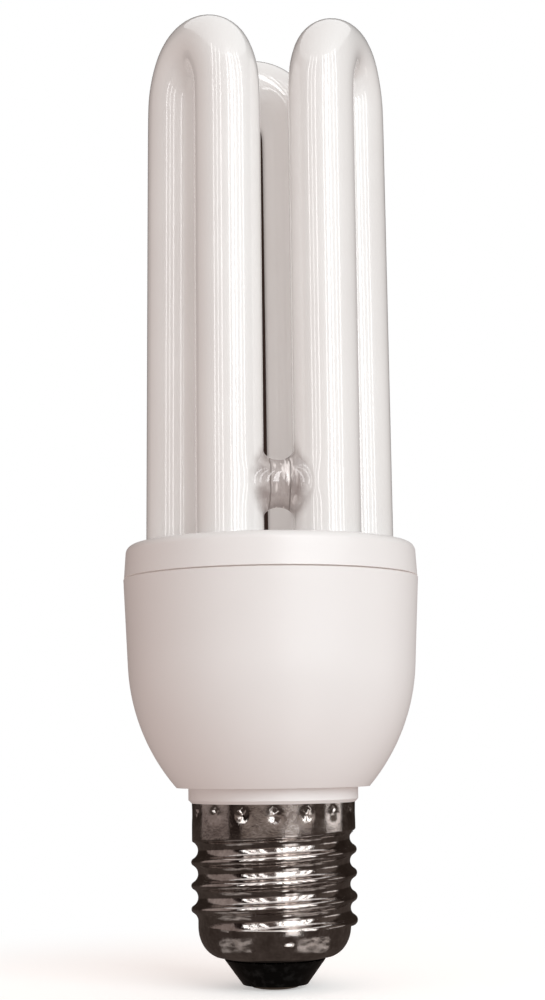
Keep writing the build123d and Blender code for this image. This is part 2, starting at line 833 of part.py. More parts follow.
# Bare wire from the board down the neck, turned out against the shell
side_bend_high = 44.0
side_bend_low = 33.5
neck_lead_place = around(10.5, side_lead_angle)
shell_lead_place = around(band_bore, side_lead_angle)
side_turn_height = neck_bottom - lead_radius - 0.1
with BuildPart() as side_lead:
    with BuildLine() as side_route:
        Polyline(
            (*side_lead_place, board_top),
            (*side_lead_place, side_bend_high),
            (*neck_lead_place, side_bend_low),
            (*neck_lead_place, side_turn_height),
            (*shell_lead_place, side_turn_height),
        )
    with BuildSketch(Plane.XY.offset(board_top)):
        with Locations(side_lead_place):
            Circle(lead_radius)
    sweep(path=side_route.line, transition=Transition.RIGHT)
side_lead.part.label = "side_lead"
export_step(side_lead.part, "parts/side_lead.step")
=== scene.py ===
import bpy
import math
from mathutils import Matrix, Vector


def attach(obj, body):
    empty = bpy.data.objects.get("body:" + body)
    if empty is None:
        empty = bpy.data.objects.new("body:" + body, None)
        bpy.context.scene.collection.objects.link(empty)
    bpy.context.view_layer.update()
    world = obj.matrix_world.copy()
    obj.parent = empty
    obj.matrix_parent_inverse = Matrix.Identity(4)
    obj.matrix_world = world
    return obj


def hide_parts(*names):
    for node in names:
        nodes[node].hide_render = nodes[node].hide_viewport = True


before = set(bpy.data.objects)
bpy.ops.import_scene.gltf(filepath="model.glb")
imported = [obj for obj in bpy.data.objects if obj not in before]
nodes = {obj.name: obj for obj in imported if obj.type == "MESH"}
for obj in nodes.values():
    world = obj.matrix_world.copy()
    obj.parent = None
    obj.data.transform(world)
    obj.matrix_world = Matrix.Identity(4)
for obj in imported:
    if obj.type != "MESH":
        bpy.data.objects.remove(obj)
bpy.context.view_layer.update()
mm = 0.001
metre = 1000  # millimetres in a metre, for patterns
bpy.context.scene.view_settings.view_transform = "Standard"
print("frame loaded,", len(nodes), "nodes")


# One output socket of a shader node. + - * and abs() on it add Math nodes, and
# node() adds any other kind of node to the same tree.
class Wire:
    def __init__(self, tree, socket=None):
        self.tree = tree
        self.socket = socket

    def node(self, kind, settings, inputs, output=0):
        made = self.tree.nodes.new("ShaderNode" + kind)
        for name, value in settings.items():
            if name == "stops":
                for element, (position, colour) in zip(made.color_ramp.elements, value):
                    element.position = position
                    element.color = (*colour, 1)
            else:
                setattr(made, name, value)
        for name, value in inputs.items():
            if isinstance(value, Wire):
                self.tree.links.new(value.socket, made.inputs[name])
            else:
                made.inputs[name].default_value = value
        return Wire(self.tree, made.outputs[output] if made.outputs else None)

    def maths(self, operation, first, second=0):
        return self.node("Math", {"operation": operation}, {0: first, 1: second})

    def __add__(self, other):
        return self.maths("ADD", self, other)

    def __radd__(self, other):
        return self.maths("ADD", other, self)

    def __sub__(self, other):
        return self.maths("SUBTRACT", self, other)

    def __rsub__(self, other):
        return self.maths("SUBTRACT", other, self)

    def __mul__(self, other):
        return self.maths("MULTIPLY", self, other)

    def __rmul__(self, other):
        return self.maths("MULTIPLY", other, self)

    def __abs__(self):
        return self.maths("ABSOLUTE", self)


def noise(place, scale, detail=3, roughness=0.5):
    return place.node("TexNoise", {}, {"Vector": place, "Scale": scale, "Detail": detail, "Roughness": roughness})


def stretch(place, scale):
    return place.node("Mapping", {}, {"Vector": place, "Scale": scale})


def length(place):
    return place.node("VectorMath", {"operation": "LENGTH"}, {0: place}, "Value")


def ramp(value, low, high):
    return value.node("ValToRGB", {"stops": (low, high)}, {"Fac": value})


def fade(value, low, high, start=0, stop=1, curve="SMOOTHSTEP"):
    return value.node("MapRange", {"interpolation_type": curve},
                      {"Value": value, "From Min": low, "From Max": high, "To Min": start, "To Max": stop})


def blend(share, first, second):
    first, second = [colour if isinstance(colour, Wire) else (*colour, 1) for colour in (first, second)]
    return share.node("Mix", {"data_type": "RGBA"}, {0: share, 6: first, 7: second}, 2)


def bump(height, strength, distance):
    return height.node("Bump", {}, {"Height": height, "Strength": strength, "Distance": distance})


def grey(level):
    return (level, level, level)


# A new material and the first wire of its tree.
def newMaterial(name):
    material = bpy.data.materials.new(name)
    material.use_nodes = True
    material.node_tree.nodes.clear()
    return material, Wire(material.node_tree)


# A material with one Principled shader. build(place) returns the shader's inputs.
def makeFinish(name, build):
    material, wire = newMaterial(name)
    place = wire.node("TexCoord", {}, {}, "Object")
    shader = wire.node("BsdfPrincipled", {}, build(place))
    wire.node("OutputMaterial", {}, {"Surface": shader})
    return material


def glowFinish(name, colour, strength=1):
    material, wire = newMaterial(name)
    glow = wire.node("Emission", {}, {"Color": (*colour, 1), "Strength": strength})
    wire.node("OutputMaterial", {}, {"Surface": glow})
    return material


# Camera: solved from the photograph against the cap's standard size.
camera = {"lens": 67.47, "sensor": 36, "place": (-32.54, -298.34, 36.95), "yaw": -0.1101, "pitch": 0.132, "roll": 0.012}


def setCamera():
    data = bpy.data.cameras.new("camera")
    data.lens = camera["lens"]
    data.sensor_width = camera["sensor"]
    data.clip_start = 0.01
    view = bpy.data.objects.new("camera", data)
    bpy.context.scene.collection.objects.link(view)
    turn = Matrix.Rotation(camera["yaw"], 4, "Z") @ Matrix.Rotation(camera["pitch"], 4, "X")
    turn = turn @ Matrix.Rotation(camera["roll"], 4, "Y") @ Matrix.Rotation(math.pi / 2, 4, "X")
    view.matrix_world = Matrix.Translation(Vector(camera["place"]) * mm) @ turn
    bpy.context.scene.camera = view


setCamera()

# Room: white to the camera and in reflections, a softer level as fill light.
room = {"fill": 0.56, "fillColour": (1.0, 0.865, 0.81)}


def setRoom():
    world = bpy.data.worlds.new("room")
    world.use_nodes = True
    world.node_tree.nodes.clear()
    bpy.context.scene.world = world
    wire = Wire(world.node_tree)
    rays = ("Is Camera Ray", "Is Glossy Ray", "Is Transmission Ray")
    seen, mirrored, through = [wire.node("LightPath", {}, {}, ray) for ray in rays]
    soft = [level * room["fill"] for level in room["fillColour"]]
    colour = blend(seen + mirrored + through, soft, (1, 1, 1))
    light = wire.node("Background", {}, {"Color": colour, "Strength": 1})
    wire.node("OutputWorld", {}, {"Surface": light})


setRoom()

# Floor: pale, keeps the shadow, and runs out to plain white. Light bounces off
# a second floor under it, and reflections show a third one, the dark flag.
floor = {
    "size": 1.2, "nearRadius": 0.03, "farRadius": 0.11, "paint": (0.9, 0.89, 0.885, 1),
    "glow": 0.42, "glowColour": (1, 0.99, 0.98, 1),
    "bounceHeight": -0.002, "bounce": (0.68, 0.575, 0.54),
    "flagHeight": -0.004, "flag": (0.06, 0.047, 0.041),
}


def floorFinish():
    material, wire = newMaterial("floorPale")
    far = fade(length(wire.node("TexCoord", {}, {}, "Object")), floor["nearRadius"], floor["farRadius"])
    coat = wire.node("BsdfDiffuse", {}, {"Color": floor["paint"]})
    glow = wire.node("Emission", {}, {"Color": floor["glowColour"], "Strength": floor["glow"]})
    paint = wire.node("AddShader", {}, {0: coat, 1: glow})
    white = wire.node("Emission", {}, {"Color": (1, 1, 1, 1), "Strength": 1})
    wire.node("OutputMaterial", {}, {"Surface": wire.node("MixShader", {}, {0: far, 1: paint, 2: white})})
    return material


def addPlane(name, height, material):
    bpy.ops.object.select_all(action="DESELECT")
    bpy.ops.mesh.primitive_plane_add(size=floor["size"], location=(0, 0, height))
    plane = bpy.context.object
    plane.name = name
    plane.data.materials.append(material)
    return plane


def setFloor():
    plane = addPlane("floor", 0, floorFinish())
    plane.visible_diffuse = plane.visible_glossy = False
    bounce = addPlane("floorBounce", floor["bounceHeight"], glowFinish("floorBounce", floor["bounce"]))
    bounce.visible_camera = bounce.visible_glossy = bounce.visible_shadow = bounce.visible_transmission = False


setFloor()

# Lamp: one large soft light in front, to the right.
lamp = {"place": (0.42, -0.86, 0.42), "aim": (0, 0, 0.08), "size": 0.8, "power": 7.0, "colour": (0.83, 0.96, 1.0)}


def setLamp():
    data = bpy.data.lights.new("key", "AREA")
    data.energy = lamp["power"]
    data.size = lamp["size"]
    data.color = lamp["colour"]
    light = bpy.data.objects.new("key", data)
    bpy.context.scene.collection.objects.link(light)
    light.location = lamp["place"]
    light.rotation_euler = (Vector(lamp["aim"]) - light.location).to_track_quat("-Z", "Y").to_euler()


setLamp()

# Reflection cards in a ring round the object, which only reflections show:
# spans of wall, narrow strip lights before them and patches on the floor.
# Angles run from the camera's side, to the right.
cards = {
    "front": -96.5, "radius": 0.62, "span": 10,
    # from, to, low, high, colour
    "walls": [
        (-119, -64, -0.3, 0.75, (0.30, 0.25, 0.235)),
        (-64, -44, -0.3, 0.75, (0.02, 0.013, 0.011)),
        (-44, 8, -0.3, 0.09, (0.30, 0.25, 0.225)),
        (-44, 8, 0.09, 0.75, (0.13, 0.10, 0.09)),
        (8, 54, -0.3, 0.09, (0.38, 0.325, 0.30)),
        (8, 54, 0.09, 0.75, (0.24, 0.20, 0.18)),
        (54, 79, -0.3, 0.75, (0.08, 0.062, 0.053)),
        (79, 108, -0.3, 0.07, (0.95, 0.90, 0.88)),
        (79, 108, 0.07, 0.75, (0.10, 0.08, 0.07)),
        (108, 241, -0.3, 0.75, (0.03, 0.022, 0.018)),
    ],
    # middle, width, strength
    "strips": [(-46, 3.6, 5), (-33, 3.6, 4), (-20, 3.8, 5), (6, 3.4, 5), (18, 6.0, 8), (29, 3.6, 6),
               (43, 4.0, 4.5), (55, 3.6, 5)],
    "stripRadius": 0.60, "stripHeights": (0.11, 0.85),
    # from, to, near, far, level, mottled
    "patches": [(16, 34, 0.05, 0.4, 1.3, False), (14, 22, 0.0195, 0.0225, 3.0, False),
                (28, 78, 0.013, 0.036, 0.6, True), (-80, -30, 0.014, 0.036, 0.45, True)],
    "patchHeight": -0.001, "patchColour": (1, 0.97, 0.95),
    "mottleScale": 160, "mottleDark": (0.06, 0.048, 0.042), "mottleWarm": (1, 0.92, 0.88),
}


def mottledGlow(name, level):
    material, wire = newMaterial(name)
    cloud = noise(wire.node("TexCoord", {}, {}, "Object"), cards["mottleScale"], 4)
    bright = [level * share for share in cards["mottleWarm"]]
    colour = ramp(cloud, (0.42, cards["mottleDark"]), (0.60, bright))
    glow = wire.node("Emission", {}, {"Color": colour, "Strength": 1})
    wire.node("OutputMaterial", {}, {"Surface": glow})
    return material


def addSheet(name, points, faces, material):
    mesh = bpy.data.meshes.new(name)
    mesh.from_pydata(points, [], faces)
    mesh.materials.append(material)
    sheet = bpy.data.objects.new(name, mesh)
    bpy.context.scene.collection.objects.link(sheet)
    return sheet


def glossOnly(card):
    card.visible_camera = card.visible_diffuse = card.visible_shadow = card.visible_transmission = False


def cardPoint(radius, angle, height):
    turn = math.radians(cards["front"] + angle)
    return (radius * math.cos(turn), radius * math.sin(turn), height)


def makeCard(name, radius, angles, heights, material):
    start, stop = angles
    parts = max(1, round((stop - start) / cards["span"]))
    turns = [start + (stop - start) * part / parts for part in range(parts + 1)]
    points = [cardPoint(radius, angle, height) for angle in turns for height in heights]
    faces = [(2 * part, 2 * part + 2, 2 * part + 3, 2 * part + 1) for part in range(parts)]
    glossOnly(addSheet(name, points, faces, material))


def makePatch(name, angles, reaches, material):
    turns = (angles[0], (angles[0] + angles[1]) / 2, angles[1])
    points = [cardPoint(reach, angle, cards["patchHeight"]) for angle in turns for reach in reaches]
    glossOnly(addSheet(name, points, [(0, 1, 3, 2), (2, 3, 5, 4)], material))


def setCards():
    for number, (start, stop, low, high, colour) in enumerate(cards["walls"]):
        wall = glowFinish(f"wall{number}", colour)
        makeCard(f"wall{number}", cards["radius"], (start, stop), (low, high), wall)
    for number, (middle, width, strength) in enumerate(cards["strips"]):
        strip = glowFinish(f"strip{number}", (1, 1, 1), strength)
        angles = (middle - width / 2, middle + width / 2)
        makeCard(f"strip{number}", cards["stripRadius"], angles, cards["stripHeights"], strip)
    for number, (start, stop, near, far, level, mottled) in enumerate(cards["patches"]):
        name = f"floorPatch{number}"
        patch = mottledGlow(name, level) if mottled else glowFinish(name, cards["patchColour"], level)
        makePatch(name, (start, stop), (near, far), patch)
    glossOnly(addPlane("floorFlag", floor["flagHeight"], glowFinish("floorFlag", floor["flag"])))


setCards()

# Painted shade: a dark sheet that only the camera sees, in the slit between the two legs at the back, where there is
# only shade.
slit = {"half": 1.55, "depth": 12.9, "heights": (64.5, 144.0), "colour": (0.030, 0.018, 0.015)}


def setSlit():
    points = [(side * mm, slit["depth"] * mm, height * mm)
              for side in (-slit["half"], slit["half"]) for height in slit["heights"]]
    card = addSheet("slitPaintedShade", points, [(0, 2, 3, 1)], glowFinish("slitPaintedShade", slit["colour"]))
    card.visible_diffuse = card.visible_shadow = card.visible_glossy = card.visible_transmission = False


setSlit()
print("stage set")


# Bridges between the U tubes: a short neck that flares to a rim on each leg.
bridges = {
    "reach": 12.27, "height": 77.7, "angles": (-90, 30), "neckRadius": 3.8, "rimRadius": 4.9, "flare": 2.5,
    "inset": 1.0, "cuts": 5,
}

# Phosphor-coated glass: glossy white, and clear round each bridge, where the heat took the coat off. The clear glass is
# painted dim mauve, as painted shade of the tube's inside. Two weld rings painted dark as painted shade, painted glints
# and crinkles run round the neck, and a painted glow lightens the coat and the bare glass.
glassLooks = {
    "white": ((0.62, 0.605, 0.595), (0.655, 0.645, 0.635)), "clear": ((0.25, 0.205, 0.195), (0.36, 0.31, 0.295)),
    "coatEdge": (4.3, 7.6), "glow": 0.2, "glowWhite": (1.0, 0.93, 0.90), "glowBare": (0.35, 0.30, 0.28),
    "weldPlace": 1.55, "weldEdge": (0.06, 0.17), "weldShadeShare": 0.85, "weldAndShade": (0.09, 0.065, 0.055),
    "paintedGlintEdge": (4.15, 5.0), "paintedGlint": (0.80, 0.73, 0.71), "roughness": 0.4, "coatRoughness": 0.02,
    "waves": 0.25, "crinkles": 4.0, "weldRise": 1.2, "relief": 0.35,
}


# Coordinates about the middle of a bridge, with X along it.
def bridgeFrame(place, angle):
    turn = math.radians(angle)
    reach = bridges["reach"] * mm
    centre = (reach * math.cos(turn), reach * math.sin(turn), bridges["height"] * mm)
    moved = place.node("VectorMath", {"operation": "SUBTRACT"}, {0: place, 1: centre})
    return place.node("VectorRotate", {"rotation_type": "Z_AXIS"}, {"Vector": moved, "Angle": -turn - math.pi / 2})


def whiteGlass(place):
    looks = glassLooks
    first, second = [bridgeFrame(place, angle) for angle in bridges["angles"]]
    far = [length(local) for local in (first, second)]
    nearer = place.maths("LESS_THAN", *far)
    local = place.node("Mix", {"data_type": "VECTOR"}, {0: nearer, 4: second, 5: first}, 1)
    reach = place.maths("MINIMUM", *far) * metre

    cloudy = noise(place, 420)
    coat = fade(reach + cloudy * 1.6 - 0.8, *looks["coatEdge"])
    bare = 1 - coat
    along = place.node("SeparateXYZ", {}, {0: local}) * metre + noise(place, 300, 2) * 0.7 - 0.35
    weldAndShade = fade(abs(abs(along) - looks["weldPlace"]), *looks["weldEdge"], 1, 0)
    white = ramp(noise(place, 60), (0.3, looks["white"][0]), (0.7, looks["white"][1]))
    # Painted shade: the clear glass takes a dim mauve, the shade of the tube's inside seen through it.
    clear = ramp(cloudy, (0.35, looks["clear"][0]), (0.65, looks["clear"][1]))
    # Painted highlights: bright glints in the bare glass close round the neck.
    paintedGlint = ramp(noise(stretch(local, (3.0, 1, 0.75)), 330, 2), (0.53, grey(0)), (0.62, grey(1)))

    lit = blend(paintedGlint * fade(reach, *looks["paintedGlintEdge"], 1, 0), clear, looks["paintedGlint"])
    # Painted shade: the weld rings are painted dark, the shade their thick glass shows; the relief below also raises
    # them.
    dark = blend(weldAndShade * looks["weldShadeShare"], lit, looks["weldAndShade"])
    colour = blend(coat, dark, white)
    # Painted light: an even glow, white on the coat and dimmer on the bare glass, lightens the tube and most of all its
    # shade.
    glow = blend(coat * (1 - bare * weldAndShade), looks["glowBare"], looks["glowWhite"])
    waves = noise(stretch(place, (1, 1, 0.12)), 140, 2)
    crinkle = noise(stretch(local, (3.2, 0.8, 0.8)), 420)
    height = waves * looks["waves"] + crinkle * bare * looks["crinkles"] + weldAndShade * bare * looks["weldRise"]
    return {"Base Color": colour, "Roughness": looks["roughness"],
            "Coat Weight": 1.0, "Coat Roughness": looks["coatRoughness"], "Coat IOR": 1.55,
            "Emission Color": glow, "Emission Strength": looks["glow"], "Normal": bump(height, looks["relief"], 0.0003)}


# White plastic: painted light in a band along the seam softens its dark, as light through the wall would.
plasticLooks = {
    "low": (0.83, 0.80, 0.79), "high": (0.86, 0.83, 0.82), "roughness": 0.38, "relief": 0.05,
    "seam": 64.0, "seamHalf": 0.11, "seamEdge": 0.03, "seamGlow": (0.13, 0.11, 0.10),
}


def whitePlastic(place):
    looks = plasticLooks
    colour = ramp(noise(place, 40), (0.3, looks["low"]), (0.7, looks["high"]))
    # Painted light: a faint glow along the seam band.
    away = abs(place.node("SeparateXYZ", {}, {0: place}, 2) * metre - looks["seam"])
    inside = fade(away, looks["seamHalf"], looks["seamHalf"] + looks["seamEdge"], 1, 0, "LINEAR")
    glow = blend(inside, grey(0), looks["seamGlow"])
    return {"Base Color": colour, "Roughness": looks["roughness"], "Emission Color": glow, "Emission Strength": 1.0,
            "Normal": bump(noise(place, 2600, 2), looks["relief"], 0.0001)}


# Nickel plate: dull, stained spots among bright ones.
nickelLooks = {"dull": (0.42, 0.37, 0.345), "bright": (0.80, 0.75, 0.72), "roughness": (0.05, 0.17), "relief": 0.32}


def nickel(place):
    looks = nickelLooks
    stain = noise(place, 1100, 4, 0.7)
    tone = noise(place, 260, 4) * 0.6 + stain * 0.4
    colour = ramp(tone, (0.36, looks["dull"]), (0.62, looks["bright"]))
    rough = ramp(tone, (0.38, grey(looks["roughness"][0])), (0.62, grey(looks["roughness"][1])))
    height = stain * 0.7 + noise(place, 5200, 2) * 0.3
    return {"Base Color": colour, "Metallic": 1.0, "Roughness": rough, "Normal": bump(height, looks["relief"], 0.00008)}


def blackGlass(place):
    specks = noise(place, 900, 4)
    colour = ramp(specks, (0.5, grey(0.002)), (0.75, grey(0.012)))
    return {"Base Color": colour, "Roughness": 0.1, "Specular IOR Level": 0.3, "Normal": bump(specks, 0.12, 0.0002)}


# Inner parts: two shades mixed by a noise, with its grain or turns of wire as relief.
innards = {
    "contactTin": {"low": (0.52, 0.47, 0.40), "high": (0.74, 0.70, 0.62), "scale": 700, "roughness": 0.28,
                   "metallic": 1.0, "relief": 0.15, "nodes": ["centre_contact"]},
    "cement": {"low": (0.66, 0.64, 0.59), "high": (0.82, 0.80, 0.75), "scale": 1500, "roughness": 0.9,
               "relief": 0.5, "nodes": ["socket_cement"]},
    "board": {"low": (0.50, 0.33, 0.15), "high": (0.64, 0.45, 0.24), "scale": 600, "roughness": 0.55,
              "relief": 0.2, "nodes": ["circuit_board"]},
    "tinnedWire": {"low": (0.58, 0.57, 0.55), "high": (0.80, 0.79, 0.77), "scale": 1200, "roughness": 0.3,
                   "metallic": 1.0, "relief": 0.2, "nodes": ["wrap_pins", "electrode_wires", "side_lead"]},
    "redSleeve": {"low": (0.62, 0.06, 0.05), "high": (0.76, 0.10, 0.08), "scale": 800, "roughness": 0.5,
                  "relief": 0.1, "nodes": ["centre_lead"]},
    "ferrite": {"low": (0.035, 0.035, 0.04), "high": (0.085, 0.085, 0.09), "scale": 1800, "roughness": 0.6,
                "relief": 0.4, "nodes": ["choke_core", "drive_toroid"]},
    "bobbin": {"low": (0.05, 0.05, 0.05), "high": (0.09, 0.09, 0.09), "scale": 500, "roughness": 0.45,
               "relief": 0.1, "nodes": ["choke_bobbin"]},
    "copper": {"low": (0.55, 0.23, 0.09), "high": (0.80, 0.42, 0.22), "scale": 400, "roughness": 0.3,
               "metallic": 1.0, "relief": 0.7, "turns": 130, "nodes": ["choke_winding", "toroid_windings"]},
    "canSleeve": {"low": (0.04, 0.055, 0.13), "high": (0.075, 0.10, 0.21), "scale": 260, "roughness": 0.25,
                  "relief": 0.1, "nodes": ["smoothing_capacitor"]},
    "filmResin": {"low": (0.36, 0.08, 0.035), "high": (0.50, 0.14, 0.07), "scale": 350, "roughness": 0.2,
                  "relief": 0.2, "nodes": ["resonance_capacitor", "blocking_capacitor"]},
    "mouldedBlack": {"low": (0.02, 0.02, 0.02), "high": (0.05, 0.05, 0.05), "scale": 1600, "roughness": 0.5,
                     "relief": 0.2, "nodes": ["transistor_1", "transistor_2", "rectifier_diodes", "filter_choke"]},
    "lacquerTan": {"low": (0.60, 0.48, 0.31), "high": (0.76, 0.64, 0.45), "scale": 500, "roughness": 0.35,
                   "relief": 0.15, "nodes": ["fuse_resistor", "base_resistors", "diac"]},
}


def innerFinish(looks):
    def build(place):
        cloud = height = noise(place, looks["scale"], 4)
        if "turns" in looks:
            height = place.node("TexWave", {"bands_direction": "Z"}, {"Vector": place, "Scale": looks["turns"]})
        colour = ramp(cloud, (0.3, looks["low"]), (0.7, looks["high"]))
        return {"Base Color": colour, "Metallic": looks.get("metallic", 0.0), "Roughness": looks["roughness"],
                "Normal": bump(height, looks["relief"], 0.0001)}
    return build


# Discharge tube: a coarse tube is bent into a U for each of the three, and the
# legs are opened and joined by necks. Subdivision rounds it off.
tube = {
    "radius": 5.28, "sides": 12, "cageScale": 1.047, "spacing": 13.5, "offset": 12.85, "wall": 0.75,
    "top": 155.2, "rise": 9.0, "crown": 5.75, "haunchSteps": 3, "crownSteps": 8, "rounding": 2,
    "angles": (90, 210, 330), "splay": (-0.45, 0.35, 0.35), "lean": (0.0, 0.3, 0.12), "sway": (0.5, 0.0, 0.0),
    "pivot": 71.0, "nearLeg": 8, "openTurn": (30, 60),
    "rows": (61.5, 62.1, 65.0, 69.0, 72.4, 75.05, 77.7, 80.35, 83.0, 86.5, 92.0, 100.0, 110.0, 120.0, 130.0),
}


def selectNothing(piece):
    bpy.ops.object.mode_set(mode="OBJECT")
    for group in (piece.data.vertices, piece.data.edges, piece.data.polygons):
        group.foreach_set("select", [False] * len(group))


def selectFaces(piece, wanted):
    selectNothing(piece)
    for face in piece.data.polygons:
        face.select = wanted(face.center / mm, face.normal)
    bpy.ops.object.mode_set(mode="EDIT")
    bpy.ops.mesh.select_mode(type="FACE")


def selectPoints(piece, wanted):
    selectNothing(piece)
    for number in wanted:
        piece.data.vertices[number].select = True
    bpy.ops.object.mode_set(mode="EDIT")
    bpy.ops.mesh.select_mode(type="VERT")


def only(*pieces):
    bpy.ops.object.select_all(action="DESELECT")
    for piece in pieces:
        piece.select_set(True)
    bpy.context.view_layer.objects.active = pieces[0]


def applyModifier(piece, modifier):
    only(piece)
    bpy.ops.object.modifier_apply(modifier=modifier.name)


def liftRing(x, y, z):
    bpy.ops.mesh.extrude_region_move(TRANSFORM_OT_translate={"value": (x * mm, y * mm, z * mm)})


def bendRing(count, turn, middle, height):
    bpy.ops.mesh.spin(steps=count, angle=math.radians(turn), axis=(-1, 0, 0),
                      center=(tube["offset"] * mm, middle * mm, height * mm))


# One U over the X axis, drawn up one leg, over three arcs and down the other.
def makeU(splay):
    half = tube["spacing"] / 2
    spring = tube["top"] - tube["radius"] - tube["rise"]
    up = tube["rise"] - tube["crown"]
    haunch = (half ** 2 - tube["crown"] ** 2 + up ** 2) / (2 * (half - tube["crown"]))
    turn = math.degrees(math.atan2(up, haunch - half))
    rows = tube["rows"]
    lifts = list(zip(rows, rows[1:] + (spring,)))
    slope = -splay / (spring - rows[0])
    bpy.ops.object.select_all(action="DESELECT")
    bpy.ops.mesh.primitive_circle_add(vertices=tube["sides"], radius=tube["radius"] * tube["cageScale"] * mm,
                                      fill_type="NOTHING",
                                      location=(tube["offset"] * mm, (half + splay) * mm, rows[0] * mm))
    piece = bpy.context.object
    piece.name = "glassU"
    bpy.ops.object.transform_apply(location=True)
    bpy.ops.object.mode_set(mode="EDIT")
    bpy.ops.mesh.select_all(action="SELECT")
    for low, high in lifts:
        liftRing(0, slope * (high - low), high - low)
    bendRing(tube["haunchSteps"], turn, half - haunch, spring)
    bendRing(tube["crownSteps"], 180 - 2 * turn, 0, spring + up)
    bendRing(tube["haunchSteps"], turn, haunch - half, spring)
    for low, high in reversed(lifts):
        liftRing(0, slope * (high - low), low - high)
    bpy.ops.mesh.select_all(action="SELECT")
    bpy.ops.mesh.normals_make_consistent(inside=False)
    bpy.ops.object.mode_set(mode="OBJECT")
    return piece


def turnPiece(piece, angle, lean, sway):
    pivot = Matrix.Translation((0, 0, tube["pivot"] * mm))
    tilt = Matrix.Rotation(math.radians(-lean), 4, "Y") @ Matrix.Rotation(math.radians(-sway), 4, "X")
    piece.data.transform(Matrix.Rotation(math.radians(angle), 4, "Z") @ pivot @ tilt @ pivot.inverted())


def legPlace(angle, side):
    place = Vector((tube["offset"], side * tube["spacing"] / 2, 0))
    return Matrix.Rotation(math.radians(angle), 3, "Z") @ place


# Hole in a leg's wall, on the side that faces the other leg.
def openLeg(piece, leg, other):
    across = (other - leg).normalized()
    row = tube["rows"][5] - tube["rows"][4]
    narrow, wide = tube["openTurn"]

    def facing(centre, normal):
        out = Vector((centre.x - leg.x, centre.y - leg.y, 0))
        if out.length > tube["nearLeg"] or normal.z > 0.5:
            return False
        turn = math.degrees(out.angle(across))
        high = abs(centre.z - bridges["height"])
        return turn < wide and high < 2 * row and not (turn > narrow and high > row)

    selectFaces(piece, facing)
    bpy.ops.mesh.inset(thickness=bridges["inset"] * mm, use_boundary=True)
    bpy.ops.mesh.delete(type="FACE")


def openRim(piece, leg):
    bpy.ops.object.mode_set(mode="OBJECT")
    used = {}
    for face in piece.data.polygons:
        for key in face.edge_keys:
            used[key] = used.get(key, 0) + 1
    near = set()
    for number in {point for key, count in used.items() if count == 1 for point in key}:
        place = piece.data.vertices[number].co / mm
        if place.z > tube["rows"][2] and math.hypot(place.x - leg.x, place.y - leg.y) < tube["nearLeg"]:
            near.add(number)
    return near


# The rim of each hole is drawn round and stays on the wall of its leg, and the
# neck between the rims is drawn in to a waist.
def joinLegs(piece, angle):
    legs = (legPlace(angle - 60, 1), legPlace(angle + 60, -1))
    openLeg(piece, legs[0], legs[1])
    openLeg(piece, legs[1], legs[0])
    rims = [openRim(piece, leg) for leg in legs]
    rimRadius, neckRadius = bridges["rimRadius"], bridges["neckRadius"]
    wallRadius = tube["radius"] * tube["cageScale"]
    up = Vector((0, 0, 1))
    for rim, leg, other in zip(rims, legs, reversed(legs)):
        across = (other - leg).normalized()
        aside = across.cross(up)
        centre = leg + up * bridges["height"]
        for number in rim:
            reach = piece.data.vertices[number].co / mm - centre
            turn = math.atan2(reach.z, reach.dot(aside))
            side = rimRadius * math.cos(turn)
            place = centre + aside * side + up * rimRadius * math.sin(turn)
            piece.data.vertices[number].co = (place + across * math.sqrt(wallRadius ** 2 - side ** 2)) * mm
    selectPoints(piece, rims[0] | rims[1])
    bpy.ops.mesh.select_mode(type="EDGE")
    before = len(piece.data.vertices)
    bpy.ops.mesh.bridge_edge_loops(number_cuts=bridges["cuts"], interpolation="LINEAR")
    bpy.ops.object.mode_set(mode="OBJECT")
    along = (legs[1] - legs[0]).normalized()
    half = (legs[1] - legs[0]).length / 2
    middle = (legs[0] + legs[1]) / 2 + up * bridges["height"]
    for point in piece.data.vertices[before:]:
        reach = point.co / mm - middle
        step = reach.dot(along)
        out = (reach - along * step).normalized()
        side = rimRadius * math.sqrt(1 - out.z ** 2)
        part = min(1, abs(step) / (half - math.sqrt(wallRadius ** 2 - side ** 2)))
        radius = neckRadius + (rimRadius - neckRadius) * part ** bridges["flare"]
        point.co = (middle + along * step + out * radius) * mm


def makeGlass():
    pieces = [makeU(splay) for splay in tube["splay"]]
    for piece, angle, lean, sway in zip(pieces, tube["angles"], tube["lean"], tube["sway"]):
        turnPiece(piece, angle, lean, sway)
    only(*pieces)
    bpy.ops.object.join()
    piece = bpy.context.object
    piece.name = "tubeGlass"
    for angle in bridges["angles"]:
        joinLegs(piece, angle)
    only(piece)
    subdivide = piece.modifiers.new("round", "SUBSURF")
    subdivide.levels = subdivide.render_levels = tube["rounding"]
    applyModifier(piece, subdivide)
    thick = piece.modifiers.new("wall", "SOLIDIFY")
    thick.thickness = tube["wall"] * mm
    thick.offset = -1
    thick.material_offset = thick.material_offset_rim = 1
    applyModifier(piece, thick)
    bpy.ops.object.shade_smooth()
    return piece


glass = makeGlass()
print("tube glass made,", len(glass.data.polygons), "faces")


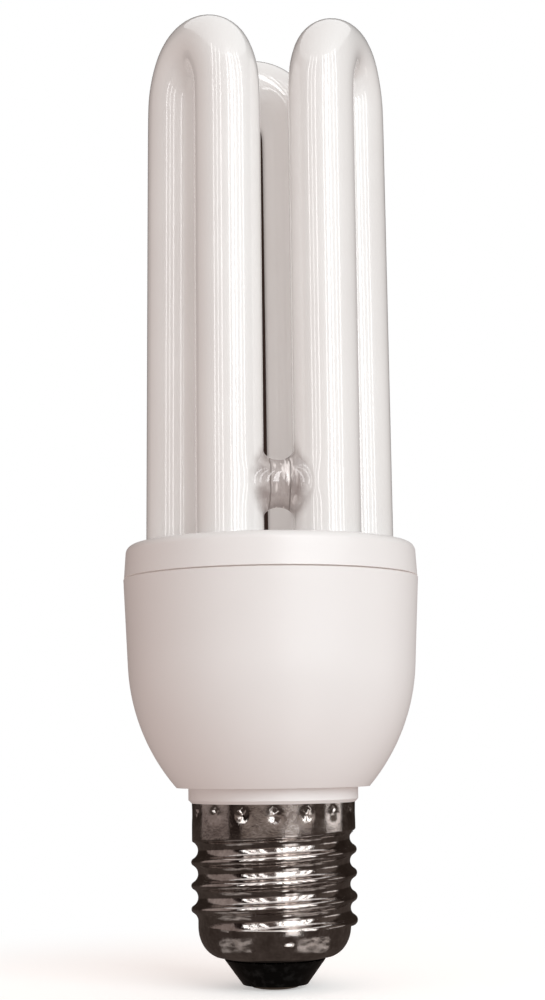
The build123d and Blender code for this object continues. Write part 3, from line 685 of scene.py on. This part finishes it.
# A closed profile of (radius, height) points, drawn point by point and spun.
def spinProfile(name, points, sides):
    radius, height = points[0]
    bpy.ops.object.select_all(action="DESELECT")
    bpy.ops.mesh.primitive_plane_add(size=mm)
    piece = bpy.context.object
    piece.name = name
    bpy.ops.object.mode_set(mode="EDIT")
    bpy.ops.mesh.select_mode(type="VERT")
    bpy.ops.mesh.select_all(action="SELECT")
    bpy.ops.mesh.merge(type="CENTER")
    bpy.ops.transform.translate(value=(radius * mm, 0, height * mm))
    for last, point in zip(points, points[1:]):
        liftRing(point[0] - last[0], 0, point[1] - last[1])
    bpy.ops.mesh.select_all(action="SELECT")
    bpy.ops.mesh.spin(steps=sides, angle=2 * math.pi, center=(0, 0, 0), axis=(0, 0, 1))
    bpy.ops.mesh.select_all(action="SELECT")
    bpy.ops.mesh.remove_doubles(threshold=0.004 * mm)
    bpy.ops.mesh.normals_make_consistent(inside=False)
    bpy.ops.object.mode_set(mode="OBJECT")
    return piece


def smooth(value):
    value = min(1, max(0, value))
    return value * value * (3 - 2 * value)


# Screw shell: a plain shell is spun, then each point of its outside takes its
# place on the thread, on the plain band or in a punch mark.
cap = {
    "sides": 320, "rowCounts": (16, 120, 3, 18), "bandRows": (25.9, 26.4), "blank": 12.5,
    "crest": 13.05, "root": 11.98, "pitch": 3.629, "crestArc": 0.62, "start": 6.77, "wholeTurns": 4,
    "firstTurn": (0.52, 0.82), "bandTurn": 84, "grooveEnd": (385, 440), "threadEnd": 26,
    "band": 12.9, "top": 28.6, "shoulder": 9.6, "shoulderPower": 2.1, "mouth": 8.0, "mouthHeight": 4.7,
    "marks": 16, "markAngle": -95.6, "markHeight": 27.75, "markDepth": 0.55, "markHalf": 0.65,
    "dimpleHeight": 26.95, "dimpleDepth": 0.22, "dimpleRadius": 0.85,
    "inside": [(12.6, 28.6), (12.6, 24.2), (11.68, 22.9), (11.68, 9.9), (11.0, 8.2), (9.2, 5.4), (7.7, 4.9),
               (7.7, 4.4)],
}


def shoulderRadius(height):
    rise = max(0, (cap["shoulder"] - height) / (cap["shoulder"] - cap["mouthHeight"]))
    return cap["mouth"] + (cap["root"] - cap["mouth"]) * math.sqrt(max(0, 1 - rise ** cap["shoulderPower"]))


# A crest arc and a root arc meet on each flank. The ridge rises out of the root
# over the first turn, and the last groove fades out under the plain band.
def threadRadius(angle, height):
    turns = (height - cap["start"]) / cap["pitch"]
    part = angle / 360
    bandEdge = part + cap["wholeTurns"] + (0 if angle >= cap["bandTurn"] else 1)
    if turns >= bandEdge:
        return cap["band"]
    ridge = round(turns - part)
    away = abs(turns - part - ridge) * cap["pitch"]
    half, rise, crestArc = cap["pitch"] / 2, cap["crest"] - cap["root"], cap["crestArc"]
    bothArcs = (half ** 2 + rise ** 2) / (2 * rise)
    rootArc = bothArcs - crestArc
    if away < half * crestArc / bothArcs:
        radius = cap["crest"] - crestArc + math.sqrt(crestArc ** 2 - away ** 2)
    else:
        radius = cap["root"] + rootArc - math.sqrt(max(0, rootArc ** 2 - (half - away) ** 2))
    first, full = cap["firstTurn"]
    radius = cap["root"] + (radius - cap["root"]) * smooth((ridge + part - first) / (full - first))
    if turns > bandEdge - 1:
        start, stop = cap["grooveEnd"]
        gone = smooth(((bandEdge - cap["wholeTurns"]) * 360 - start) / (stop - start))
        radius = radius + (cap["band"] - radius) * gone
    if turns > bandEdge - 0.5:
        radius = min(radius, cap["band"])
    return radius


# A four-sided punch mark with a shallow dimple under it.
def markDepth(angle, height):
    step = 360 / cap["marks"]
    turn = (angle - cap["markAngle"] + step / 2) % step - step / 2
    across = math.radians(turn) * cap["band"]
    point = max(0, 1 - (abs(across) + abs(height - cap["markHeight"])) / cap["markHalf"])
    away = (across ** 2 + (height - cap["dimpleHeight"]) ** 2) / cap["dimpleRadius"] ** 2
    return cap["markDepth"] * point + cap["dimpleDepth"] * math.exp(-away)


def makeCap():
    edges = (cap["mouthHeight"], cap["shoulder"], *cap["bandRows"], cap["top"])
    heights = [low + (high - low) * row / count
               for low, high, count in zip(edges, edges[1:], cap["rowCounts"]) for row in range(count)]
    outside = [(cap["blank"], height) for height in heights + [cap["top"]]]
    outside[0] = (cap["mouth"], cap["mouthHeight"])
    piece = spinProfile("capShell", outside + cap["inside"] + [outside[0]], cap["sides"])
    for point in piece.data.vertices:
        x, y, height = point.co / mm
        reach = math.hypot(x, y)
        if abs(reach - cap["blank"]) > 0.02:
            continue
        angle = math.degrees(math.atan2(y, x)) % 360
        radius = threadRadius(angle, height) if height < cap["threadEnd"] else cap["band"]
        if height < cap["shoulder"]:
            radius = min(radius, shoulderRadius(height))
        radius -= markDepth(angle, height)
        point.co.x *= radius / reach
        point.co.y *= radius / reach
    only(piece)
    bpy.ops.object.shade_smooth_by_angle(angle=math.radians(50))
    return piece


shell = makeCap()
print("screw shell made,", len(shell.data.polygons), "faces")


# Upper cover and its cement, drawn from the plain parts with the lower top and
# the tighter edge that the photograph shows.
cover = {"seam": 64.3, "edge": 68.5, "newEdge": 68.0, "flat": 20.75, "newFlat": 21.85, "squeeze": 0.56}


def lowerTop(name):
    node = nodes[name]
    piece = node.copy()
    piece.data = node.data.copy()
    piece.data.transform(node.matrix_world)
    piece.parent = None
    piece.matrix_world = Matrix.Identity(4)
    piece.name = name + "Low"
    bpy.context.scene.collection.objects.link(piece)
    only(piece)
    bpy.ops.object.mode_set(mode="EDIT")
    bpy.ops.mesh.select_all(action="SELECT")
    bpy.ops.mesh.remove_doubles(threshold=0.002 * mm)
    bpy.ops.mesh.normals_make_consistent(inside=False)
    bpy.ops.object.mode_set(mode="OBJECT")
    bpy.ops.mesh.customdata_custom_splitnormals_clear()
    share = (cover["newEdge"] - cover["seam"]) / (cover["edge"] - cover["seam"])
    for point in piece.data.vertices:
        x, y, height = point.co / mm
        reach = math.hypot(x, y)
        if height > cover["edge"] - 0.001:
            point.co.z = (cover["newEdge"] + (height - cover["edge"]) * cover["squeeze"]) * mm
            if reach > cover["flat"]:
                out = (cover["newFlat"] + (reach - cover["flat"]) * cover["squeeze"]) / reach
                point.co.x *= out
                point.co.y *= out
        elif height > cover["seam"]:
            point.co.z = (cover["seam"] + (height - cover["seam"]) * share) * mm
    bpy.ops.object.shade_smooth_by_angle(angle=math.radians(30))
    return piece


holder = lowerTop("tube_holder")
cement = lowerTop("socket_cement")
print("cover made,", len(holder.data.polygons), "faces")


def dress(piece, *finish):
    piece.data.materials.clear()
    for material in finish:
        piece.data.materials.append(material)


plastic = makeFinish("whitePlastic", whitePlastic)
coated = makeFinish("whiteGlass", whiteGlass)
plated = makeFinish("nickel", nickel)
finishes = {"discharge_tube": coated, "tube_holder": plastic, "ballast_housing": plastic, "screw_shell": plated,
            "insulator": makeFinish("blackGlass", blackGlass)}
for name, looks in innards.items():
    finish = makeFinish(name, innerFinish(looks))
    for part in looks["nodes"]:
        finishes[part] = finish
dress(glass, coated, makeFinish("phosphor", whiteGlass))  # the second is the inside of the wall
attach(glass, "root")
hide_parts("discharge_tube")
for piece, name, slot in ((holder, "tube_holder", "housing_plastic"), (cement, "socket_cement", "cement")):
    dress(piece, finishes[name])
    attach(piece, "root")
    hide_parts(name)
dress(shell, plated)
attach(shell, "root")
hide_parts("screw_shell")
for name, node in nodes.items():
    dress(node, finishes[name])
print("finishes set,", len(finishes), "nodes")
